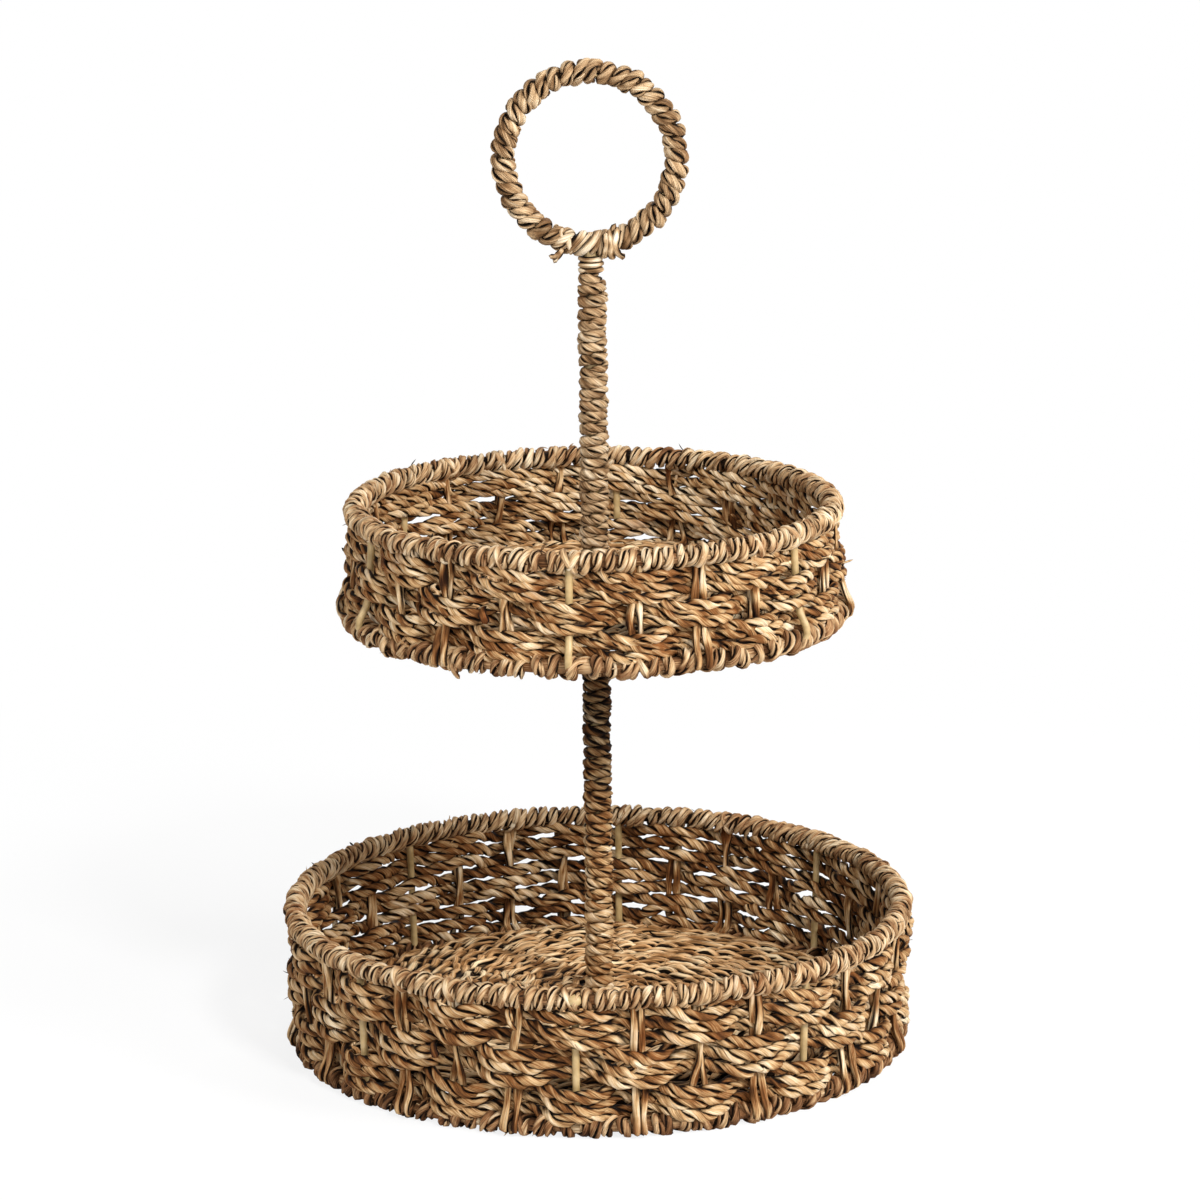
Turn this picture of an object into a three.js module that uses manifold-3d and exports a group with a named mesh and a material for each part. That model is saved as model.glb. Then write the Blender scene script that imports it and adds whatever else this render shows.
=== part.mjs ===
// Two-tier tray stand of seagrass rope woven on a painted wire frame, in millimetres, +Z up.
// The origin is on the surface that the stand rests on, under the pole.
import * as THREE from "three";
import { mergeVertices } from "three/addons/utils/BufferGeometryUtils.js";
import Module from "manifold-3d";

const wasm = await Module();
wasm.setup();

// Wire frame
const ringWireDiameter = 5;
const uprightDiameter = 4;
const spokeDiameter = 4;
const rodDiameter = 9;
const handleWireDiameter = 6;

// Seagrass
const wrapDiameter = 12.5;
const bandThickness = 4;
const stakeThickness = 4;
const stakeWidth = 8.5;
const matThickness = 4.5;
const poleStrandThickness = 3.5;
const handleStrandThickness = 2.9;

// Clearances
const seatGap = 0.3;
const handleWindingGap = 0.9;
const poleTurnGap = 0.6;
const handleTurnGap = 1;

// Lower tray: radii of the ring centrelines, height of its wall between ring centres
const lowerTray = {
  name: "lower",
  baseHeight: wrapDiameter / 2,
  baseRadius: 190.5,
  rimRadius: 193.8,
  wallHeight: 81.8,
  uprights: 8,
  firstUprightAngle: -94.3,
  ringSteps: 32,
  floorHubRadius: 62,
  floorRise: 8,
  bandOverUprights: [true, false, true],
};

// Upper tray, the same make at a smaller size
const upperTray = {
  name: "upper",
  baseHeight: 283.6,
  baseRadius: 153.4,
  rimRadius: 149.8,
  wallHeight: 64.4,
  uprights: 6,
  firstUprightAngle: -95.8,
  ringSteps: 28,
  floorHubRadius: 50,
  floorRise: 6,
  bandOverUprights: [false, true, false],
};

const ropesBetweenUprights = 3;
const uprightsPerSpoke = 2;
const matEdgeInset = 14;

// Handle ring and the windings
const handleHeight = 568;
const handleRadius = 53;
const handleSteps = 32;
const junctionHalfAngle = 14;
const junctionDiameter = 15.5;
const windingLoops = 24;
const stepsPerLoop = 8;

// Facets of round sections
const wrapSides = 8;
const wireSides = 6;
const rodSides = 12;
const lashingSteps = 4;
const gapSamples = [0, 0.25, 0.5, 0.75];

const seagrass = { color: 0xb3935f, roughness: 0.85, metalness: 0 };
const seagrassPale = { color: 0xbfa276, roughness: 0.85, metalness: 0 };
const seagrassBrown = { color: 0x8f7048, roughness: 0.88, metalness: 0 };
const paintedWire = { color: 0xa08b5e, roughness: 0.5, metalness: 0.1 };

const radians = THREE.MathUtils.degToRad;

// A closed geometry as a solid, and back
function solidOf(geometry) {
  const bare = geometry.clone();
  bare.deleteAttribute("normal");
  bare.deleteAttribute("uv");
  const merged = mergeVertices(bare, 1e-4);
  return new wasm.Manifold(
    new wasm.Mesh({
      numProp: 3,
      vertProperties: merged.attributes.position.array,
      triVerts: new Uint32Array(merged.index.array),
    }),
  );
}

function geometryOf(solid) {
  const mesh = solid.getMesh();
  const geometry = new THREE.BufferGeometry();
  const positions = new Float32Array(mesh.vertProperties);
  geometry.setAttribute("position", new THREE.BufferAttribute(positions, 3));
  geometry.setIndex(new THREE.BufferAttribute(new Uint32Array(mesh.triVerts), 1));
  geometry.computeVertexNormals();
  return geometry;
}

function cutFrom(geometry, cutters) {
  let solid = solidOf(geometry);
  for (const cutter of cutters) {
    solid = solid.subtract(solidOf(cutter));
  }
  return geometryOf(solid);
}

function joined(geometries) {
  let solid = solidOf(geometries[0]);
  for (const geometry of geometries.slice(1)) {
    solid = solid.add(solidOf(geometry));
  }
  return geometryOf(solid);
}

// A profile of [radius, height] points, anticlockwise, turned about Z
function turned(profile, steps) {
  const points = profile.map(([radius, height]) => new THREE.Vector2(radius, height));
  points.push(points[0].clone());
  return new THREE.LatheGeometry(points, steps).rotateX(Math.PI / 2);
}

// How far the corners of a polygon stand from its middle, when its flats are a diameter apart
function cornerReach(diameter, sides) {
  return diameter / 2 / Math.cos(Math.PI / sides);
}

// A ring of round wire or wrapping, its section a polygon with flats above and below
function ring(radius, height, diameter, sides, steps) {
  const cornerRadius = cornerReach(diameter, sides);
  const profile = [];
  for (let i = 0; i < sides; i++) {
    const angle = Math.PI / 2 + ((2 * i + 1) * Math.PI) / sides;
    profile.push([
      radius + cornerRadius * Math.cos(angle),
      height + cornerRadius * Math.sin(angle),
    ]);
  }
  return turned(profile, steps);
}

// A straight round bar between two points
function bar(from, to, diameter, sides) {
  const along = to.clone().sub(from);
  const geometry = new THREE.CylinderGeometry(diameter / 2, diameter / 2, along.length(), sides);
  const turn = new THREE.Quaternion().setFromUnitVectors(
    new THREE.Vector3(0, 1, 0),
    along.clone().normalize(),
  );
  geometry.applyQuaternion(turn);
  const middle = from.clone().add(to).multiplyScalar(0.5);
  return geometry.translate(middle.x, middle.y, middle.z);
}

function polar(radius, degrees, height) {
  const angle = radians(degrees);
  return new THREE.Vector3(radius * Math.cos(angle), radius * Math.sin(angle), height);
}

// The outline of a strip of even thickness along a bent line, its corners mitred
function stripOutline(line, thickness) {
  const points = line.map(([x, y]) => new THREE.Vector2(x, y));
  const leftSide = [];
  const rightSide = [];
  points.forEach((point, i) => {
    const before = points[Math.max(i - 1, 0)];
    const after = points[Math.min(i + 1, points.length - 1)];
    const arriving = (i > 0 ? point : after).clone().sub(i > 0 ? before : point).normalize();
    const last = i === points.length - 1;
    const leaving = last ? arriving.clone() : after.clone().sub(point).normalize();
    const normal = arriving.clone().add(leaving).normalize();
    const left = new THREE.Vector2(-normal.y, normal.x);
    const reach = thickness / 2 / normal.dot(arriving);
    leftSide.push(point.clone().addScaledVector(left, reach));
    rightSide.push(point.clone().addScaledVector(left, -reach));
  });
  return leftSide.concat(rightSide.reverse()).map((p) => [p.x, p.y]);
}

// Heights and radii that the pieces of one tray share
function trayPlan(tray) {
  const wrapRadius = wrapDiameter / 2;
  const rimHeight = tray.baseHeight + tray.wallHeight;
  const slope = (tray.rimRadius - tray.baseRadius) / tray.wallHeight;
  const wallRadius = (height) => tray.baseRadius + slope * (height - tray.baseHeight);
  const stakeFoot = tray.baseHeight + wrapRadius + seatGap + stakeThickness / 2;
  const wallBottom = stakeFoot + stakeThickness / 2 + seatGap;
  const wallTop = rimHeight - wrapRadius - seatGap;
  const bandHeight = (wallTop - wallBottom - 2 * seatGap) / 3;
  const slant = (Math.abs(slope) * bandHeight) / 2;
  const widest = Math.max(stakeThickness, uprightDiameter);
  const swing = (bandThickness + widest) / 2 + seatGap + slant;
  const stakeCount = tray.uprights * (ropesBetweenUprights + 1);
  const floorEdge = tray.baseHeight + spokeDiameter / 2 + seatGap + stakeThickness / 2;
  const floorHub = floorEdge + tray.floorRise;
  const ringSag = tray.baseRadius * (1 - Math.cos(Math.PI / tray.ringSteps));
  const stakeReach = wrapRadius + seatGap + stakeThickness / 2;
  const shoulderDrop = tray.baseHeight + stakeReach * Math.SQRT2 - floorEdge;
  const floorStart = tray.baseRadius - ringSag - shoulderDrop;
  const floorSlope = tray.floorRise / (floorStart - tray.floorHubRadius);
  return {
    ...tray,
    rimHeight,
    wallRadius,
    stakeFoot,
    wallBottom,
    wallTop,
    bandHeight,
    swing,
    stakeCount,
    floorEdge,
    floorHub,
    stakeReach,
    ringSag,
    floorStart,
    floorSlope,
    stakePitch: 360 / stakeCount,
  };
}

// Metal uprights of a tray, from its base ring to its rim
function uprightBars(plan, extra) {
  const endGap = ringWireDiameter / 2 + seatGap - extra;
  const bars = [];
  for (let i = 0; i < plan.uprights; i++) {
    const degrees = plan.firstUprightAngle + (i * 360) / plan.uprights;
    const low = plan.baseHeight + endGap;
    const high = plan.rimHeight - endGap;
    bars.push(
      bar(
        polar(plan.wallRadius(low), degrees, low),
        polar(plan.wallRadius(high), degrees, high),
        uprightDiameter + 2 * extra,
        wireSides,
      ),
    );
  }
  return bars;
}

// Metal spokes of a tray's floor, from its base ring to the pole
function spokeBars(plan, extra) {
  const wireReach = cornerReach(ringWireDiameter, wireSides);
  const outerEnd = plan.baseRadius - plan.ringSag - wireReach - seatGap + extra;
  const innerEnd = rodDiameter / 2 + seatGap;
  const bars = [];
  for (let i = 0; i < plan.uprights; i += uprightsPerSpoke) {
    const degrees = plan.firstUprightAngle + (i * 360) / plan.uprights;
    bars.push(
      bar(
        polar(innerEnd, degrees, plan.baseHeight),
        polar(outerEnd, degrees, plan.baseHeight),
        spokeDiameter + 2 * extra,
        wireSides,
      ),
    );
  }
  return bars;
}

// Seagrass wrapped round a ring wire, with the places where the frame's bars come in
function ringWrap(radius, height, plan, bars) {
  const outside = ring(radius, height, wrapDiameter, wrapSides, plan.ringSteps);
  const bore = ringWireDiameter + 2 * seatGap;
  const inside = ring(radius, height, bore, wireSides, plan.ringSteps);
  return cutFrom(outside, [inside, ...bars]);
}

// Doubled ropes that run in under the floor and stand in the wall between the metal uprights
function stakes(plan) {
  const footRadius = plan.baseRadius - plan.ringSag;
  const shoulder = plan.stakeReach * Math.tan(Math.PI / 8);
  const line = [
    [plan.wallRadius(plan.wallTop), plan.wallTop],
    [plan.wallRadius(plan.stakeFoot), plan.stakeFoot],
    [footRadius - shoulder, plan.stakeFoot],
    [plan.floorStart, plan.floorEdge],
    [plan.floorHubRadius, plan.floorHub],
    [plan.floorHubRadius - stakeWidth / 2, plan.floorHub],
  ];
  const outline = stripOutline(line, stakeThickness).map(([x, y]) => new THREE.Vector2(x, y));
  const pieces = [floorHubDisc(plan)];
  for (let i = 0; i < plan.stakeCount; i++) {
    if (i % (ropesBetweenUprights + 1) === 0) {
      continue;
    }
    const flat = { depth: stakeWidth, bevelEnabled: false };
    const stake = new THREE.ExtrudeGeometry(new THREE.Shape(outline), flat);
    stake.translate(0, 0, -stakeWidth / 2).rotateX(Math.PI / 2);
    stake.rotateZ(radians(plan.firstUprightAngle + i * plan.stakePitch));
    pieces.push(stake);
  }
  return joined(pieces);
}

// The middle of the floor, where the doubled ropes come together round the pole
function floorHubDisc(plan) {
  const bore = rodDiameter / 2 + seatGap;
  const bottom = plan.floorHub - stakeThickness / 2;
  const top = plan.floorHub + stakeThickness / 2;
  const profile = [
    [bore, bottom],
    [plan.floorHubRadius, bottom],
    [plan.floorHubRadius, top],
    [bore, top],
  ];
  return turned(profile, plan.ringSteps);
}

// The twined mat that covers the floor, raised a little in the middle
function floorMat(plan) {
  const facetGap = plan.ringSag * plan.floorSlope;
  const lift = (stakeThickness + matThickness) / 2 + seatGap + facetGap;
  const edge = plan.baseRadius - matEdgeInset;
  const edgeHeight = plan.floorEdge + (plan.floorStart - edge) * plan.floorSlope;
  const line = [
    [edge, edgeHeight + lift],
    [plan.floorHubRadius, plan.floorHub + lift],
    [rodDiameter / 2 + seatGap, plan.floorHub + lift],
  ];
  return turned(stripOutline(line, matThickness).reverse(), plan.ringSteps);
}

// A band of three ropes that passes before one stake and behind the next, all round the wall
function wallBand(plan, place) {
  const bottom = plan.wallBottom + place * (plan.bandHeight + seatGap);
  const middle = plan.wallRadius(bottom + plan.bandHeight / 2);
  const sense = plan.bandOverUprights[place] ? 1 : -1;
  const flatHalf = THREE.MathUtils.radToDeg((stakeWidth / 2 + bandThickness / 2) / middle);
  const edge = (side) => {
    const points = [];
    for (let i = 0; i < plan.stakeCount; i++) {
      const swing = i % 2 === 0 ? sense * plan.swing : -sense * plan.swing;
      const degrees = plan.firstUprightAngle + i * plan.stakePitch;
      for (const offset of [-flatHalf, flatHalf]) {
        const radius = middle + swing + (side * bandThickness) / 2;
        const point = polar(radius, degrees + offset, 0);
        points.push(new THREE.Vector2(point.x, point.y));
      }
    }
    return points;
  };
  const outline = new THREE.Shape(edge(1));
  outline.holes.push(new THREE.Path(edge(-1)));
  const flat = { depth: plan.bandHeight, bevelEnabled: false };
  return new THREE.ExtrudeGeometry(outline, flat).translate(0, 0, bottom);
}

// One unbroken strand: four corners round each point of its path, closed at both ends. Its twisted
// sides are split along the diagonal that stands out, which depends on the sense of the winding.
function strand(rings, rightHanded) {
  const corners = rings[0].length;
  const positions = rings.flat().flatMap((p) => [p.x, p.y, p.z]);
  const index = [];
  for (let i = 0; i < rings.length - 1; i++) {
    for (let j = 0; j < corners; j++) {
      const a = i * corners + j;
      const b = i * corners + ((j + 1) % corners);
      if (rightHanded) {
        index.push(a, a + corners, b, b, a + corners, b + corners);
      } else {
        index.push(a, a + corners, b + corners, a, b + corners, b);
      }
    }
  }
  const last = (rings.length - 1) * corners;
  for (let j = 1; j < corners - 1; j++) {
    index.push(0, j, j + 1);
    index.push(last, last + j + 1, last + j);
  }
  const geometry = new THREE.BufferGeometry();
  geometry.setAttribute("position", new THREE.Float32BufferAttribute(positions, 3));
  geometry.setIndex(index);
  geometry.computeVertexNormals();
  return geometry;
}

// The section of a strand: flat against what it is wound on, full on the outside
function strandSection(point, outward, along, thickness, width) {
  const across = along.clone().cross(outward).normalize();
  const up = across.clone().cross(along).normalize();
  const corners = [
    [-0.5, -0.5],
    [-0.5, 0.5],
    [0.5, 0.3],
    [0.5, -0.3],
  ];
  return corners.map(([u, v]) =>
    point
      .clone()
      .addScaledVector(up, u * thickness)
      .addScaledVector(across, v * width),
  );
}

// A strand wound along a path: place(turns) gives its point, outward direction and width there
function winding(name, thickness, rightHanded, place) {
  const steps = windingLoops * stepsPerLoop;
  const rings = [];
  const at = (i) => place(Math.min(Math.max(i, 0), steps) / stepsPerLoop);
  for (let i = 0; i <= steps; i++) {
    const here = at(i);
    const along = at(i + 1).point.clone().sub(at(i - 1).point).normalize();
    const section = (point) =>
      strandSection(point, here.outward, along, thickness, here.width);
    if (i === 0) {
      rings.push(section(here.point.clone().addScaledVector(along, -thickness)));
    }
    rings.push(section(here.point));
    if (i === steps) {
      rings.push(section(here.point.clone().addScaledVector(along, thickness)));
    }
  }
  console.log(name + " least gap to itself " + leastSelfGap(rings).toFixed(2) + " mm");
  return strand(rings, rightHanded);
}

// The least distance between points on a strand that lie half a loop or more apart along it
function leastSelfGap(rings) {
  const samples = rings.slice(0, -1).flatMap((corners, i) =>
    corners.flatMap((corner, j) => {
      const next = rings[i + 1][j];
      return gapSamples.map((share) => ({
        ring: i,
        point: corner.clone().lerp(next, share),
      }));
    }),
  );
  let least = Infinity;
  for (const one of samples) {
    for (const other of samples) {
      const apart = other.ring - one.ring;
      if (apart >= stepsPerLoop / 2 && apart <= 2 * stepsPerLoop) {
        least = Math.min(least, one.point.distanceTo(other.point));
      }
    }
  }
  return least;
}

// Seagrass wound round a stretch of the pole
function poleWinding(name, low, high) {
  const reach = cornerReach(rodDiameter + 2 * seatGap, stepsPerLoop);
  const radius = reach + poleStrandThickness / 2;
  const pitch = (high - low) / (windingLoops + 1);
  const slant = Math.atan(pitch / (2 * Math.PI * radius));
  const width = pitch * Math.cos(slant) - poleTurnGap;
  return winding(name, poleStrandThickness, true, (turns) => ({
    point: polar(radius, 360 * turns, low + pitch / 2 + pitch * turns),
    outward: polar(1, 360 * turns, 0),
    width,
  }));
}

// Seagrass wound round the handle ring, from one side of its junction with the pole to the other
function handleWinding() {
  const reach = cornerReach(handleWireDiameter + 2 * handleWindingGap, stepsPerLoop);
  const radius = reach + handleStrandThickness / 2;
  const endTurn = (handleStrandThickness / 2 + seatGap) / handleRadius;
  const span = 2 * Math.PI - 2 * radians(junctionHalfAngle) - 2 * endTurn;
  const turnAngle = span / (windingLoops + 1);
  const first = -Math.PI / 2 + radians(junctionHalfAngle) + endTurn + turnAngle / 2;
  const towardsFront = new THREE.Vector3(0, -1, 0);
  return winding("handle_winding", handleStrandThickness, false, (turns) => {
    const around = first + turnAngle * turns;
    const about = 2 * Math.PI * turns;
    const spoke = new THREE.Vector3(Math.cos(around), 0, Math.sin(around));
    const outward = spoke.clone().multiplyScalar(Math.cos(about));
    outward.addScaledVector(towardsFront, Math.sin(about));
    const point = spoke.clone().multiplyScalar(handleRadius).addScaledVector(outward, radius);
    point.z += handleHeight;
    const pitch = turnAngle * (handleRadius + radius * Math.cos(about));
    const slant = Math.atan(pitch / (2 * Math.PI * radius));
    return { point, outward, width: pitch * Math.cos(slant) - handleTurnGap };
  });
}

// The lashing that ties the handle ring to the top of the pole
function junctionLashing(rodTop) {
  const half = radians(junctionHalfAngle);
  const sleeve = new THREE.Shape();
  sleeve.absarc(0, 0, junctionDiameter / 2, 0, 2 * Math.PI, false);
  const bore = new THREE.Path();
  bore.absarc(0, 0, handleWireDiameter / 2 + handleWindingGap, 0, 2 * Math.PI, false);
  sleeve.holes.push(bore);
  const points = [];
  for (let i = 0; i <= lashingSteps; i++) {
    const around = -Math.PI / 2 - half + (2 * i * half) / lashingSteps;
    const x = handleRadius * Math.cos(around);
    const z = handleHeight + handleRadius * Math.sin(around);
    points.push(new THREE.Vector3(x, 0, z));
  }
  const arc = new THREE.CatmullRomCurve3(points);
  const swept = { steps: lashingSteps, curveSegments: lashingSteps, extrudePath: arc };
  const geometry = new THREE.ExtrudeGeometry(sleeve, swept);
  const below = new THREE.Vector3(0, 0, rodTop - junctionDiameter);
  const above = new THREE.Vector3(0, 0, rodTop + seatGap);
  return cutFrom(geometry, [bar(below, above, rodDiameter + 2 * seatGap, rodSides)]);
}

const group = new THREE.Group();

function add(name, geometry, look) {
  const mesh = new THREE.Mesh(geometry, new THREE.MeshStandardMaterial(look));
  mesh.name = name;
  group.add(mesh);
}

// All the pieces of one tray
function addTray(tray) {
  const plan = trayPlan(tray);
  const name = (piece) => tray.name + "_" + piece;
  const wire = (radius, height) =>
    ring(radius, height, ringWireDiameter, wireSides, tray.ringSteps);
  add(name("base_wire"), wire(plan.baseRadius, plan.baseHeight), paintedWire);
  add(name("rim_wire"), wire(plan.rimRadius, plan.rimHeight), paintedWire);
  const uprights = uprightBars(plan, 0);
  uprights.forEach((geometry, i) => add(name("upright_" + (i + 1)), geometry, paintedWire));
  const spokes = spokeBars(plan, 0);
  spokes.forEach((geometry, i) => add(name("spoke_" + (i + 1)), geometry, paintedWire));
  const uprightRoom = uprightBars(plan, seatGap);
  const baseBars = [...uprightRoom, ...spokeBars(plan, seatGap)];
  const baseWrap = ringWrap(plan.baseRadius, plan.baseHeight, plan, baseBars);
  const rimWrap = ringWrap(plan.rimRadius, plan.rimHeight, plan, uprightRoom);
  add(name("base_wrap"), baseWrap, seagrassPale);
  add(name("rim_wrap"), rimWrap, seagrassPale);
  ["bottom", "middle", "top"].forEach((place, i) =>
    add(name("band_" + place), wallBand(plan, i), seagrass),
  );
  add(name("stakes"), stakes(plan), seagrassPale);
  add(name("floor_mat"), floorMat(plan), seagrassBrown);
  return plan;
}

const lower = addTray(lowerTray);
const upper = addTray(upperTray);

// The pole: its rod stands on the level of the lower spokes and ends under the handle ring
const matTop = (plan) => plan.floorHub + stakeThickness / 2 + seatGap + matThickness;
const handleWireReach = cornerReach(handleWireDiameter, wireSides);
const rodTop = handleHeight - handleRadius - handleWireReach - seatGap;
const rodFoot = lower.baseHeight - spokeDiameter / 2;
const rod = bar(
  new THREE.Vector3(0, 0, rodFoot),
  new THREE.Vector3(0, 0, rodTop),
  rodDiameter,
  rodSides,
);
add("pole_rod", rod, paintedWire);
const lashingBottom = handleHeight - handleRadius - junctionDiameter / 2;
const underUpper = upper.baseHeight - spokeDiameter / 2 - 2 * seatGap;
const lowerWinding = poleWinding("pole_winding_lower", matTop(lower) + seatGap, underUpper);
add("pole_winding_lower", lowerWinding, seagrassBrown);
const upperWindingFoot = matTop(upper) + seatGap;
const upperWinding = poleWinding("pole_winding_upper", upperWindingFoot, lashingBottom);
add("pole_winding_upper", upperWinding, seagrass);

// The handle: a wire ring that stands upright in the XZ plane on the pole
const handleWire = ring(handleRadius, 0, handleWireDiameter, wireSides, handleSteps);
add("handle_wire", handleWire.rotateX(Math.PI / 2).translate(0, 0, handleHeight), paintedWire);
add("handle_winding", handleWinding(), seagrass);
add("junction_lashing", junctionLashing(rodTop), seagrassPale);

export default group;
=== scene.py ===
import math

import bpy
import numpy as np
from mathutils import Matrix, Vector


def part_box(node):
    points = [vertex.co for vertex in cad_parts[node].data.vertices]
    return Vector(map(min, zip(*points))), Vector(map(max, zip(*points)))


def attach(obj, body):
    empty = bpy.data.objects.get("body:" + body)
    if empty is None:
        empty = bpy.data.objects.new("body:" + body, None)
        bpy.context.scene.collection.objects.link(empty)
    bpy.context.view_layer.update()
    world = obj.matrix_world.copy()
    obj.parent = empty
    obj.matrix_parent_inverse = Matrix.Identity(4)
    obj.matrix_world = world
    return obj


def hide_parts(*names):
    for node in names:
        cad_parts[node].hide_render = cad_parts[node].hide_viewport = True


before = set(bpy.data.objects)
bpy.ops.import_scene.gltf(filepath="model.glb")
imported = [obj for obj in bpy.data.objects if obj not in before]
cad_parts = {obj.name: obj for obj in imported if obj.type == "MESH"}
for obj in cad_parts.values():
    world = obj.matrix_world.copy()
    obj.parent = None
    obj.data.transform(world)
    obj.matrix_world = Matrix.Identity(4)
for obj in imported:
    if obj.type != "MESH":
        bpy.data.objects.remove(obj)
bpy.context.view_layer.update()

mm = 0.001
fullTurn = 2 * math.pi
upward = np.array([0.0, 0.0, 1.0])
frontward = np.array([0.0, -1.0, 0.0])
rightward = np.array([1.0, 0.0, 0.0])


def addObject(name, data):
    made = bpy.data.objects.new(name, data)
    bpy.context.scene.collection.objects.link(made)
    return made


# Camera at the photo's view

cameraView = {
    "place": (0.0, -2.8, 0.9793),
    "pitch": 0.2423,  # radians below level
    "yaw": 0.0012,
    "roll": -0.0107,
    "lens": 137.12,
    "sensor": 36.0,
}


def addCamera(view):
    cosPitch, sinPitch = math.cos(view["pitch"]), math.sin(view["pitch"])
    forward = Vector((
        math.sin(view["yaw"]) * cosPitch,
        math.cos(view["yaw"]) * cosPitch,
        -sinPitch,
    ))
    right = forward.cross(Vector((0, 0, 1))).normalized()
    up = right.cross(forward)
    cosRoll, sinRoll = math.cos(view["roll"]), math.sin(view["roll"])
    rolledRight = cosRoll * right + sinRoll * up
    rolledUp = cosRoll * up - sinRoll * right
    camera = bpy.data.cameras.new("photoCamera")
    camera.lens = view["lens"]
    camera.sensor_width = view["sensor"]
    camera.sensor_fit = "HORIZONTAL"
    camera.clip_end = 50
    cameraObject = addObject("photoCamera", camera)
    axes = Matrix((rolledRight, rolledUp, -forward)).transposed().to_4x4()
    cameraObject.matrix_world = Matrix.Translation(view["place"]) @ axes
    bpy.context.scene.camera = cameraObject


# Materials

def toLinear(hexColour):
    channels = [int(hexColour[i:i + 2], 16) / 255 for i in (1, 3, 5)]
    bent = [c / 12.92 if c <= 0.04045 else ((c + 0.055) / 1.055) ** 2.4 for c in channels]
    return (*bent, 1.0)


def addNode(tree, kind, settings=None, inputs=None, links=None):
    # a node with its settings, its socket values, and what is linked into it
    node = tree.nodes.new(kind)
    for key, value in (settings or {}).items():
        setattr(node, key, value)
    for key, value in (inputs or {}).items():
        node.inputs[key].default_value = value
    for key, source in (links or {}).items():
        tree.links.new(source, node.inputs[key])
    return node


def newMaterial(name):
    material = bpy.data.materials.new(name)
    material.use_nodes = True
    material.node_tree.nodes.clear()
    return material, material.node_tree


def setRamp(node, stops):
    ramp = node.color_ramp
    while len(ramp.elements) < len(stops):
        ramp.elements.new(0.5)
    for element, (place, hexColour) in zip(ramp.elements, stops):
        element.position = place
        element.color = toLinear(hexColour)


def addNoise(tree, space, scale, detail, roughness, distortion=0.0):
    noise = addNode(
        tree, "ShaderNodeTexNoise",
        inputs={
            "Scale": scale, "Detail": detail, "Roughness": roughness, "Distortion": distortion,
        },
        links={"Vector": space},
    )
    return noise.outputs["Fac"]


def addRange(tree, source, fromMin, fromMax, toMin, toMax, **settings):
    # turns one stretch of a value into another stretch
    spread = addNode(
        tree, "ShaderNodeMapRange", settings,
        inputs={"From Min": fromMin, "From Max": fromMax, "To Min": toMin, "To Max": toMax},
        links={"Value": source},
    )
    return spread.outputs["Result"]


def addMath(tree, operation, *sources, **settings):
    maths = addNode(
        tree, "ShaderNodeMath", {"operation": operation, **settings},
        links=dict(enumerate(sources)),
    )
    return maths.outputs["Value"]


def mixIn(tree, share, base, hexColour):
    mix = addNode(
        tree, "ShaderNodeMix", {"data_type": "RGBA"},
        inputs={7: toLinear(hexColour)}, links={0: share, 6: base},
    )
    return mix.outputs[2]


def addBump(tree, height, strength, distance):
    bump = addNode(
        tree, "ShaderNodeBump",
        inputs={"Strength": strength, "Distance": distance}, links={"Height": height},
    )
    return bump.outputs["Normal"]


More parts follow.
